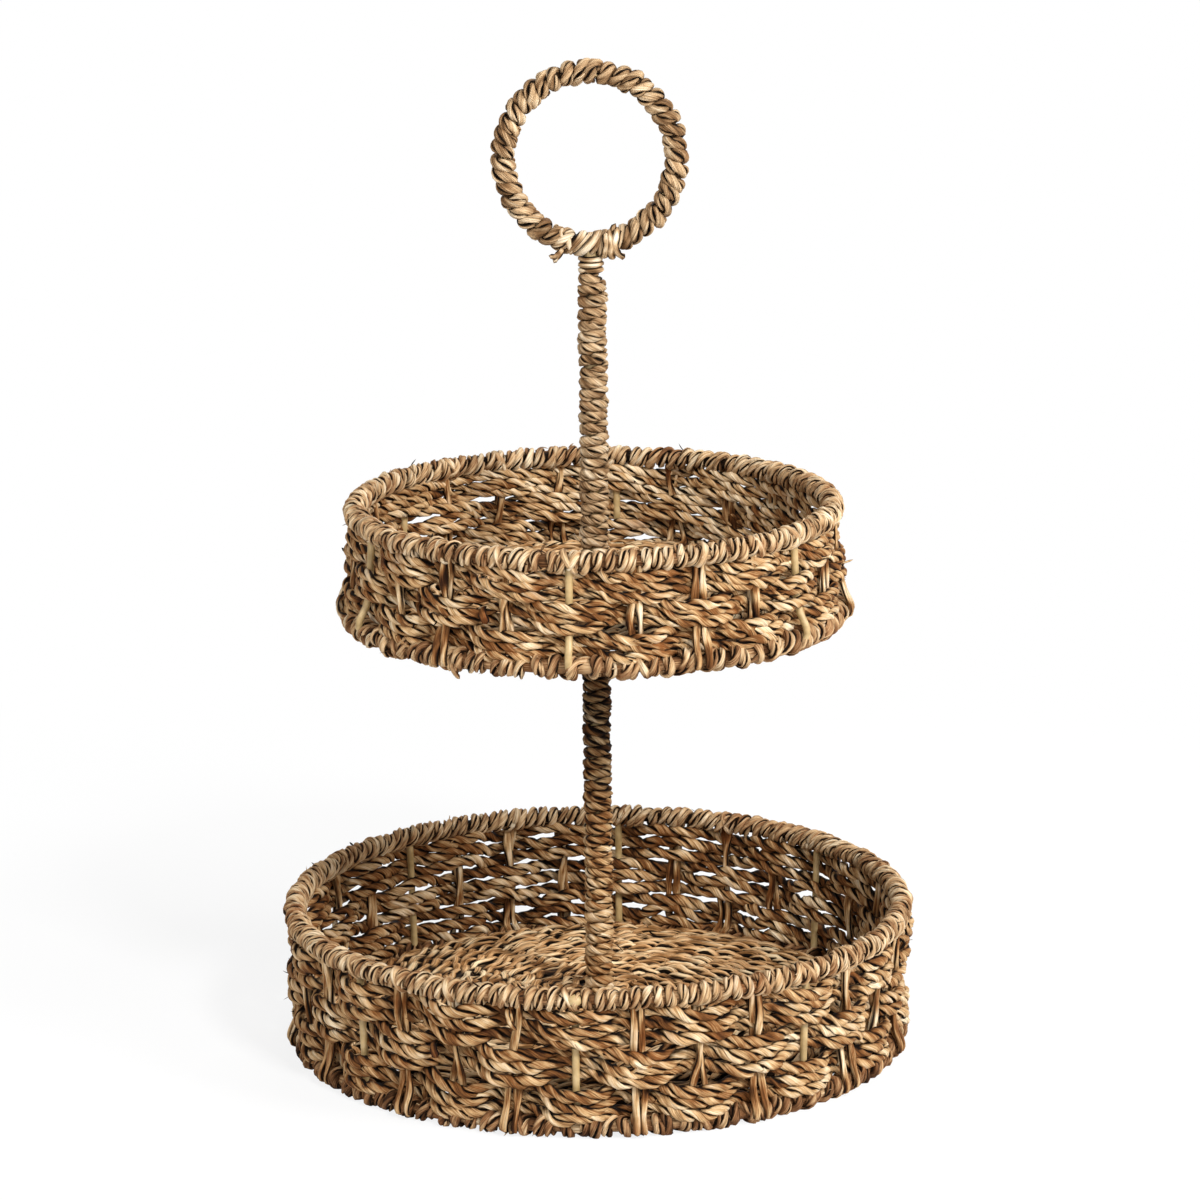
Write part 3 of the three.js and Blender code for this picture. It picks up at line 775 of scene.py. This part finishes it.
def weaveFloor(tray, look, material):
    bundle = newBundle()

    def paintedUnderShade(points):
        # painted shade: a strand is darker where it passes under the other
        radius = np.hypot(points[..., 0], points[..., 1])
        off = np.abs(points[..., 2] - floorHeight(tray, look, radius))
        return np.clip(0.45 + off / (4.2 * mm), 0, 1)

    outermost = tray["base"]["radius"] - tray["base"]["half"] - look["wide"] * mm
    rows = round((outermost - look["innermost"] * mm) / (look["pitch"] * mm)) + 1
    spacing = (outermost - look["innermost"] * mm) / (rows - 1)
    for row in range(rows):
        seed = (55 if tray["name"] == "lower" else 85) + 13 * row
        rng = np.random.default_rng(seed)
        radius = outermost - row * spacing
        stakes = tray["stakes"] if radius > 60 * mm else tray["stakes"] // 2
        count = max(stakes * 8, round(fullTurn * radius / (look["step"] * mm)))
        share = np.arange(count) / count
        angle = tray["firstAngle"] + fullTurn * share
        size = 1.3 if row < 2 else 1.0  # the outer rounds are thicker
        crossings = round(fullTurn * radius / (2 * look["lens"] * mm * size))
        swap = crossings * fullTurn * share + fullTurn * rng.uniform()
        swap += ripple(share, seed, 2, stakes, 0.8)
        for strand in (0, 1):
            phase = swap + math.pi * strand
            over, across = np.cos(phase), np.sin(phase)
            own = radius - look["swing"] * mm * across * size
            own += ripple(share, seed + 3, 3, 30, 0.75 * mm)
            height = floorHeight(tray, look, own) + look["rise"] * mm * over * size
            height += ripple(share, seed + 4 + strand, 3, stakes, 0.5 * mm)
            # painted shade: the two outer rounds, shaded by the wall, are darker
            tint = (0.35 if row < 2 else 0.54) + rng.uniform(-0.1, 0.1)
            addStrand(
                bundle, polar(own, angle, height), upward, look["thick"] * size,
                look["wide"] * size, seed * 7 + strand, tint, sides=look["sides"],
                foldDepth=0.13, unevenness=0.1, shadeAt=paintedUnderShade,
            )

        # a flat strand below closes the chinks to the next round, or to the pole
        count = max(24, count // 3)
        angle = fullTurn * np.arange(count) / count
        clear = 0.5 * mm if row == rows - 1 else 0
        own = np.full(count, radius - spacing / 2 + clear)
        # painted shade: this strand is darker, as it is seen only in the chinks
        addStrand(
            bundle, polar(own, angle, floorHeight(tray, look, own) - 1.5 * mm), upward,
            1.2, 2.6, seed * 7 + 5, 0.3, sides=5, folds=2, foldDepth=0.05, shadeAt=paintedUnderShade,
        )

    def onMat(rng):
        radius, angle = rng.uniform(25 * mm, outermost), np.array([rng.uniform(0, fullTurn)])
        height = floorHeight(tray, look, radius) + (look["thick"] + 0.6 * look["rise"]) * mm
        out = spokesAt(angle)[0]
        return polar(radius, angle, height)[0], 0.35 * upward, np.cross(upward, out)

    scatterFrays(bundle, look["frays"], 31, onMat, "mat")
    node = tray["name"] + "_floor_mat"
    makePiece(node + "_twining", node, bundle, material)


# Stakes: doubled smooth ropes that stand in the wall and run in under the floor

stakeLook = {
    "thick": 1.95, "wide": 2.25, "apart": 2.2, "sides": 11, "step": 1.8, "tint": 0.42,
    "tintSpread": 0.12, "slant": 3.5, "splay": (-0.3, 3.4),
    "twists": (0.0, 0.5, -0.5), "twistShares": (0.4, 0.3, 0.3),
    "innerEnds": (11, 58, 30, 58),  # how near to the pole they run
}


def addStakes(tray, floorLook, look, material):
    bundle = newBundle()
    rim, base = tray["rim"], tray["base"]
    lower = tray["name"] == "lower"
    bend = base["half"] + look["thick"] * mm
    underMat = (matThickness / 2 + look["thick"]) * mm + 1.2 * mm
    foot, wall = base["height"], tray["wallRadius"]
    for i in range(tray["stakes"]):
        seed = 300 + 31 * i + (5000 if lower else 0)
        rng = np.random.default_rng(seed)
        angle = tray["firstAngle"] + fullTurn * i / tray["stakes"]
        metal = i % 4 == 0
        outsideAtFoot = (i % 2 == 1) == lower
        out = spokesAt(angle)
        side = np.cross(upward, out)
        slant = rng.uniform(-look["slant"], look["slant"]) * mm
        splay = rng.uniform(*look["splay"]) * mm
        twist = rng.choice(look["twists"], p=look["twistShares"])
        for strand in (-1, 1):
            tint = look["tint"] + rng.uniform(-look["tintSpread"], look["tintSpread"])
            if not metal:
                top = rim["height"] - 1.5 * mm
                pushes = ((top, 1.0), (top - 12 * mm, 0.3), (foot + 30 * mm, 0.0))
                line = [(wall(z) + push * mm, z) for z, push in pushes]
                if outsideAtFoot:
                    line += [
                        (wall(foot) + 0.5 * bend, foot + base["half"] + 5 * mm),
                        (wall(foot) + bend, foot + 3 * mm),
                        (wall(foot) + bend, foot - 0.35 * base["half"]),
                        (wall(foot) + 0.55 * bend, foot - 0.62 * base["half"]),
                    ]
                else:
                    line += [
                        (wall(foot), foot + bend),
                        (wall(foot) - 0.9 * bend, foot + 0.9 * bend),
                        (wall(foot) - 1.3 * bend, foot + 0.2 * bend),
                    ]
                highest, lowest = line[0][1], line[-1][1]
                corners = []
                for radius, z in line:
                    shift = slant * ((highest - z) / (highest - lowest) - 0.5)
                    corners.append(radius * out + shift * side + z * upward)
                path = smoothPath(corners, look["step"] * mm)
                share = (highest - path[:, 2]) / (highest - lowest)
                apart = strand * (look["apart"] * mm + splay * share ** 2)
                lay = fullTurn * twist * np.clip(share / 0.8, 0, 1)
                path += (apart * np.cos(lay))[:, None] * side
                path += (0.8 * apart * np.sin(lay))[:, None] * out
                waver = np.linspace(0, 1, len(path))
                path += ripple(waver, seed + strand, 1, 3, 0.45 * mm)[:, None] * side
                addStrand(
                    bundle, path, out, look["thick"], look["wide"], seed + 3 * strand, tint,
                    closed=False, sides=look["sides"], foldDepth=0.2, foldTurns=26.0,
                    unevenness=0.14, allRound=True, grooveShade=0.28,
                )
            # the part that runs in under the floor
            inner = look["innerEnds"][i % 4] * mm
            outerEnd = base["radius"] - 0.75 * bend
            corners = []
            for radius in (outerEnd, outerEnd - 15 * mm, 0.6 * outerEnd, inner + 20 * mm, inner):
                z = floorHeight(tray, floorLook, radius) - underMat
                z = max(z, look["thick"] * mm + 2.5 * mm)
                spread = look["apart"] * mm * (0.75 if radius < 40 * mm else 1.0)
                corners.append(radius * out + strand * spread * side + z * upward)
            addStrand(
                bundle, smoothPath(corners, 3.2 * mm), -upward, look["thick"], look["wide"],
                seed + 9 + 3 * strand, tint, closed=False, sides=6, foldDepth=0.09,
                foldTurns=8.0, unevenness=0.08, allRound=True,
            )
    node = tray["name"] + "_stakes"
    makePiece(node + "_doubled", node, bundle, material)


# Pole: a two-ply rope wound close round the rod

poleRope = {
    "pitch": 7.3, "centre": 6.4, "lay": 17.5, "plyOffset": 1.9, "flatten": 0.42,
    "plySize": (1.85, 2.85), "sides": 12, "foldDepth": 0.13,
    "plyTint": 0.06, "tintWander": 0.09, "seamWidth": 0.1, "edgeShade": 0.35, "unevenness": 0.11,
    "stepsPerTurn": 26, "tint": 0.46, "under": 5.5,
    "pastTop": {"pole_winding_lower": 3, "pole_winding_upper": -9},
}

trayShadowPaint = {"from": 90, "over": 110, "share": 0.42}


def paintTrayShadow(points):
    # painted shade: darker towards the upper tray, where its shadow falls on the pole
    share = (points[..., 2] - trayShadowPaint["from"] * mm) / (trayShadowPaint["over"] * mm)
    return 1 - trayShadowPaint["share"] * np.clip(share, 0, 1)


def windPole(node, look, material, shadeAt=None):
    low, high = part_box(node)
    middle = (low + high) / 2
    bottom = low.z - look["under"] * mm  # down in the mat
    top = high.z + look["pastTop"][node] * mm
    turns = (top - bottom) / (look["pitch"] * mm) - 1
    count = round(turns * look["stepsPerTurn"])
    share = np.linspace(0, 1, count)
    about = fullTurn * turns * share
    seed = sum(map(ord, node))
    lift = ripple(share, seed, 3, int(turns * 2), 0.25 * mm)
    rise = bottom + look["pitch"] * mm * (0.5 + turns * share)
    rise += ripple(share, seed + 1, 3, int(turns * 1.5), 0.35 * mm)
    reach = look["centre"] * mm + lift
    centres = polar(reach, about, rise) + np.array([middle.x, middle.y, 0])
    bundle = newBundle()
    addRope(
        bundle, centres, spokesAt(about), look, seed, look["tint"], closed=False, shadeAt=shadeAt
    )
    makePiece(node + "_rope", node, bundle, material)


# Handle: the same rope, a little fatter, wound round the ring wire

handleRope = {
    "pitch": 8.0, "centre": 4.75, "lay": 19.0, "plyOffset": 2.0, "flatten": 0.45,
    "plySize": (2.0, 3.1), "sides": 12, "foldDepth": 0.14,
    "plyTint": 0.05, "tintWander": 0.08, "seamWidth": 0.1, "edgeShade": 0.35, "unevenness": 0.1,
    "stepsPerTurn": 22, "junctionHalf": 12.0, "core": 3.6, "tint": 0.43,
}


def handleRing():
    low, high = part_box("handle_wire")
    return np.array((low + high) / 2), (high.z - low.z) / 2 - (high.y - low.y) / 2


def spokeOf(around):
    return np.stack([np.cos(around), 0 * around, np.sin(around)], axis=-1)


def windHandle(look, material):
    centre, radius = handleRing()
    bundle = newBundle()
    half = math.radians(look["junctionHalf"])
    span = fullTurn - 2 * half
    around = -math.pi / 2 + half + span * np.linspace(0, 1, 120)
    core = look["core"]
    # painted shade: a dark core, seen only in the gaps between the turns
    addStrand(
        bundle, centre + radius * spokeOf(around), spokeOf(around), core, core, 71, 0.1,
        closed=False, sides=8, folds=2, foldDepth=0.03,
    )
    turns = round(span * radius / (look["pitch"] * mm))
    count = turns * look["stepsPerTurn"]
    share = np.linspace(0, 1, count)
    about = fullTurn * turns * share
    wobble = ripple(share, 912, 8, turns, 0.55 * mm / radius)
    around = -math.pi / 2 + half + span * share + wobble
    facing = swingRound(about, spokeOf(around), frontward)
    reach = look["centre"] * mm + ripple(share, 913, 6, 2 * turns, 0.3 * mm)
    centres = centre + radius * spokeOf(around) + reach[:, None] * facing
    addRope(bundle, centres, facing, look, 914, look["tint"], closed=False)
    makePiece("handle_rope", "handle_winding", bundle, material)


# Junction: broad leaf crossed over the foot of the handle ring

junctionLeaf = {
    "thick": 1.9, "core": 6.0, "sides": 10, "half": 17,
    # each turn: where it sits on the ring and how far it leans in degrees, its half width, tint
    "turns": (
        (-19, -4, 2.0, 0.5), (-15, -3, 2.0, 0.58), (-10.5, 5, 2.1, 0.44), (-6, 6, 2.0, 0.54),
        (4.5, 5, 2.0, 0.42), (8, 3, 2.0, 0.46), (12, -4, 2.0, 0.4), (15.5, 4, 2.0, 0.52),
        (19.5, 5, 2.1, 0.5), (-1, 7, 3.2, 0.54),
    ),
    # the knot and the tails, written as in knotShapes, from the foot of the ring
    "twists": (
        (((8, 5, -8), (9, 9, -4), (10, 10, 2), (9, 7, 8)), 1.7, 2.3, 0.5),
        (((17, 5, 10), (15.5, 9, 5), (14.5, 10, -1), (17, 8, -6), (21, 6, -8)), 1.7, 2.5, 0.56),
        (((11, 5, 9), (12, 9.5, 5), (13, 10.5, 0), (12, 9, -5), (14, 6, -9)), 1.6, 2.3, 0.44),
        (((13, 5, 8), (14, 6, 11), (15.5, 6.5, 13.5)), 1.0, 1.8, 0.3),
        (((-17, 5, -2), (-20, 8, -5), (-23, 8, -7), (-26, 7, -6)), 1.2, 1.8, 0.45),
        (((-17, 4, -3), (-20, 6, -7), (-22, 6, -9), (-23, 5, -11)), 1.0, 1.5, 0.35),
    ),
}


def lashJunction(look, material):
    centre, radius = handleRing()
    bundle = newBundle()
    half = math.radians(look["half"])
    around = -math.pi / 2 + half * np.linspace(-1, 1, 24)
    core = look["core"]
    # painted shade: a dark core, seen only in the gaps between the turns
    addStrand(
        bundle, centre + radius * spokeOf(around), spokeOf(around), core, core, 83, 0.2,
        closed=False, sides=10,
    )
    for i, (place, lean, wide, tint) in enumerate(look["turns"]):
        about = np.linspace(-0.15, 1.1, 30) * fullTurn
        turn = -math.pi / 2 + np.radians(place - lean * np.cos(about))
        facing = swingRound(about, spokeOf(turn), frontward)
        reach = (5.5 + 0.45 * (i % 3) + (0.9 if wide > 2.5 else 0)) * mm
        addStrand(
            bundle, centre + radius * spokeOf(turn) + reach * facing, facing,
            look["thick"], wide, 840 + i * 3, tint, closed=False, sides=look["sides"],
            foldDepth=0.16, foldTurns=12.0, ropeOut=facing,
        )
    # three neat turns round the top of the pole
    low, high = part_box("pole_rod")
    for i in range(3):
        about = fullTurn * np.linspace(0, 1.05, 26) + 2.0 * i
        rise = high.z - (5.5 + 3.7 * i) * mm + 0.4 * mm * np.sin(about + 1.2 * i)
        addStrand(
            bundle, polar(6.3 * mm, about, rise), spokesAt(about), 1.8, 1.95, 871 + 4 * i, 0.56,
            closed=False, sides=9, foldDepth=0.12, ropeOut=spokesAt(about),
        )
    # the knot on the right and the loose tails
    foot = centre - radius * upward
    addTwists(bundle, foot, rightward, frontward, look["twists"], 1.0, 953)
    makePiece("junction_leaf", "junction_lashing", bundle, material)


# Metal uprights as smooth round wire

wireLook = {"radius": 2.3, "beadRadius": 4.4}


def deselectAll():
    bpy.ops.object.select_all(action="DESELECT")


def pick(piece):
    piece.select_set(True)
    bpy.context.view_layer.objects.active = piece


def smooth(piece):
    for polygon in piece.data.polygons:
        polygon.use_smooth = True


def addWire(name, line, radius, material):
    # a poly curve with a round bevel, turned into a mesh
    curve = bpy.data.curves.new(name, "CURVE")
    curve.dimensions = "3D"
    curve.bevel_depth = radius
    curve.bevel_resolution = 4
    curve.use_fill_caps = True
    spline = curve.splines.new("POLY")
    spline.points.add(len(line) - 1)
    for point, place in zip(spline.points, line):
        point.co = (*place, 1)
    wire = addObject(name, curve)
    deselectAll()
    pick(wire)
    bpy.ops.object.convert(target="MESH")
    wire = bpy.context.view_layer.objects.active
    smooth(wire)
    wire.data.materials.clear()
    wire.data.materials.append(material)
    return wire


def addBead(wire, place, look):
    # the smooth weld that shows in the rim lashing, joined to its wire
    deselectAll()
    bpy.ops.mesh.primitive_uv_sphere_add(segments=24, ring_count=16, radius=look["beadRadius"] * mm)
    bead = bpy.context.active_object
    bpy.ops.object.mode_set(mode="EDIT")
    bpy.ops.mesh.select_all(action="SELECT")
    bpy.ops.transform.resize(value=(1.05, 0.85, 0.85), center_override=(0, 0, 0))
    bpy.ops.transform.translate(value=tuple(place))
    bpy.ops.object.mode_set(mode="OBJECT")
    smooth(bead)
    bead.data.materials.append(wire.data.materials[0])
    pick(wire)
    bpy.ops.object.join()


def addMetalwork(tray, look, material):
    base, wall = tray["base"], tray["wallRadius"]
    foot, head = base["height"], tray["rim"]["height"]
    upper = tray["name"] == "upper"
    radius = look["radius"] * mm
    for i in range(tray["uprights"]):
        angle = tray["firstAngle"] + fullTurn * i / tray["uprights"]
        out = spokesAt(angle)
        corners = [(wall(head), head), (wall(foot + 20 * mm), foot + 20 * mm)]
        if upper:  # these bend out round the base ring
            beside = base["half"] + radius
            corners += [
                (wall(foot) + 0.6 * beside, foot + 10 * mm),
                (wall(foot) + 0.85 * beside, foot + 5 * mm),
                (wall(foot) + 0.5 * beside, foot + 0.5 * mm),
            ]
        else:
            corners.append((wall(foot), foot))
        line = smoothPath([r * out + z * upward for r, z in corners], 4 * mm)
        node = tray["name"] + "_upright_" + str(i + 1)
        wire = addWire(node + "_wire", line, radius, material)
        if i == 0 and not upper:
            addBead(wire, (wall(head) + 4.6 * mm) * out + (head + 1 * mm) * upward, look)
        settle(wire, "wire", node)


# Floor under the object, and the light

def addFloor():
    deselectAll()
    bpy.ops.mesh.primitive_plane_add(size=80)
    floor = bpy.context.active_object
    floor.name = "paperFloor"
    material, tree = newMaterial("matWhitePaper")
    path = addNode(tree, "ShaderNodeLightPath")
    paper = addNode(tree, "ShaderNodeBsdfDiffuse", inputs={"Color": (0.86, 0.86, 0.86, 1.0)})
    glow = addNode(tree, "ShaderNodeEmission", inputs={"Color": (1, 1, 1, 1), "Strength": 1.0})
    reach = addNode(
        tree, "ShaderNodeVectorMath", {"operation": "LENGTH"},
        links={0: addNode(tree, "ShaderNodeTexCoord").outputs["Object"]},
    )
    # the paper keeps the shadow near the object and burns out to white further off
    burnt = addRange(
        tree, reach.outputs["Value"], 0.25, 0.95, 0.83, 1.0, interpolation_type="SMOOTHSTEP"
    )
    seen = addMath(tree, "MULTIPLY", path.outputs["Is Camera Ray"], burnt)
    mix = addNode(
        tree, "ShaderNodeMixShader",
        links={0: seen, 1: paper.outputs["BSDF"], 2: glow.outputs["Emission"]},
    )
    addNode(tree, "ShaderNodeOutputMaterial", links={"Surface": mix.outputs["Shader"]})
    floor.data.materials.append(material)


lampAim = (0, 0, 0.28)
lamps = (
    # name, place, size, watts
    ("keyLamp", (1.45, -2.55, 2.6), 0.6, 116.0),
    ("frontLamp", (0.3, -3.3, 1.35), 1.0, 29.0),
    ("leftLamp", (-2.5, -1.5, 2.0), 1.3, 50.0),
    ("rightLamp", (2.6, -1.2, 1.9), 1.2, 88.0),
    ("backLamp", (0.4, 2.2, 2.4), 1.6, 34.0),
)


def addLight():
    for name, place, size, watts in lamps:
        lamp = bpy.data.lights.new(name, "AREA")
        lamp.size = size
        lamp.energy = watts
        aim = (Vector(lampAim) - Vector(place)).to_track_quat("-Z", "Y").to_matrix().to_4x4()
        addObject(name, lamp).matrix_world = Matrix.Translation(place) @ aim
    world = bpy.data.worlds.new("paleStudio")
    world.use_nodes = True
    bpy.context.scene.world = world
    tree = world.node_tree
    tree.nodes.clear()
    path = addNode(tree, "ShaderNodeLightPath").outputs
    ambient, white = (
        addNode(tree, "ShaderNodeBackground", inputs={"Color": (1, 1, 1, 1), "Strength": strength})
        for strength in (0.02, 1.0)
    )
    direct = addMath(tree, "MAXIMUM", path["Is Camera Ray"], path["Is Glossy Ray"])
    direct = addMath(tree, "MAXIMUM", direct, path["Is Transmission Ray"])
    mix = addNode(
        tree, "ShaderNodeMixShader",
        links={0: direct, 1: ambient.outputs["Background"], 2: white.outputs["Background"]},
    )
    addNode(tree, "ShaderNodeOutputWorld", links={"Surface": mix.outputs["Shader"]})


# Everything, stage by stage

bpy.context.scene.view_settings.view_transform = "Standard"
addCamera(cameraView)
addFloor()
addLight()
print("camera, floor and light stand")

wallGrass = makeSeagrass("twistedSeagrass", seagrassLooks["wall"])
ringGrass = makeSeagrass("lashedSeagrass", seagrassLooks["ring"])
lashGrass = makeSeagrass("wrappedSeagrass", seagrassLooks["lashing"])
floorGrass = makeSeagrass("twinedSeagrass", seagrassLooks["floor"])
paintedSteel = makePaintedWire()
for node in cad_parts.values():
    for slot in node.material_slots:
        slot.material = paintedSteel
print("materials made")

trays = {"lower": trayShape("lower", 8), "upper": trayShape("upper", 6)}
for name, tray in trays.items():
    weaveWall(tray, wallRopes[name], wallGrass)
    lashRing(tray, "rim", lashings["rim"], ringGrass)
    lashRing(tray, "base", lashings["base"], ringGrass)
    weaveFloor(tray, floorMats[name], floorGrass)
    addStakes(tray, floorMats[name], stakeLook, wallGrass)
    addMetalwork(tray, wireLook, paintedSteel)
    print(name, "tray woven")

windPole("pole_winding_lower", poleRope, wallGrass, paintTrayShadow)
windPole("pole_winding_upper", poleRope, lashGrass)
windHandle(handleRope, lashGrass)
lashJunction(junctionLeaf, lashGrass)
print("pole and handle wound")
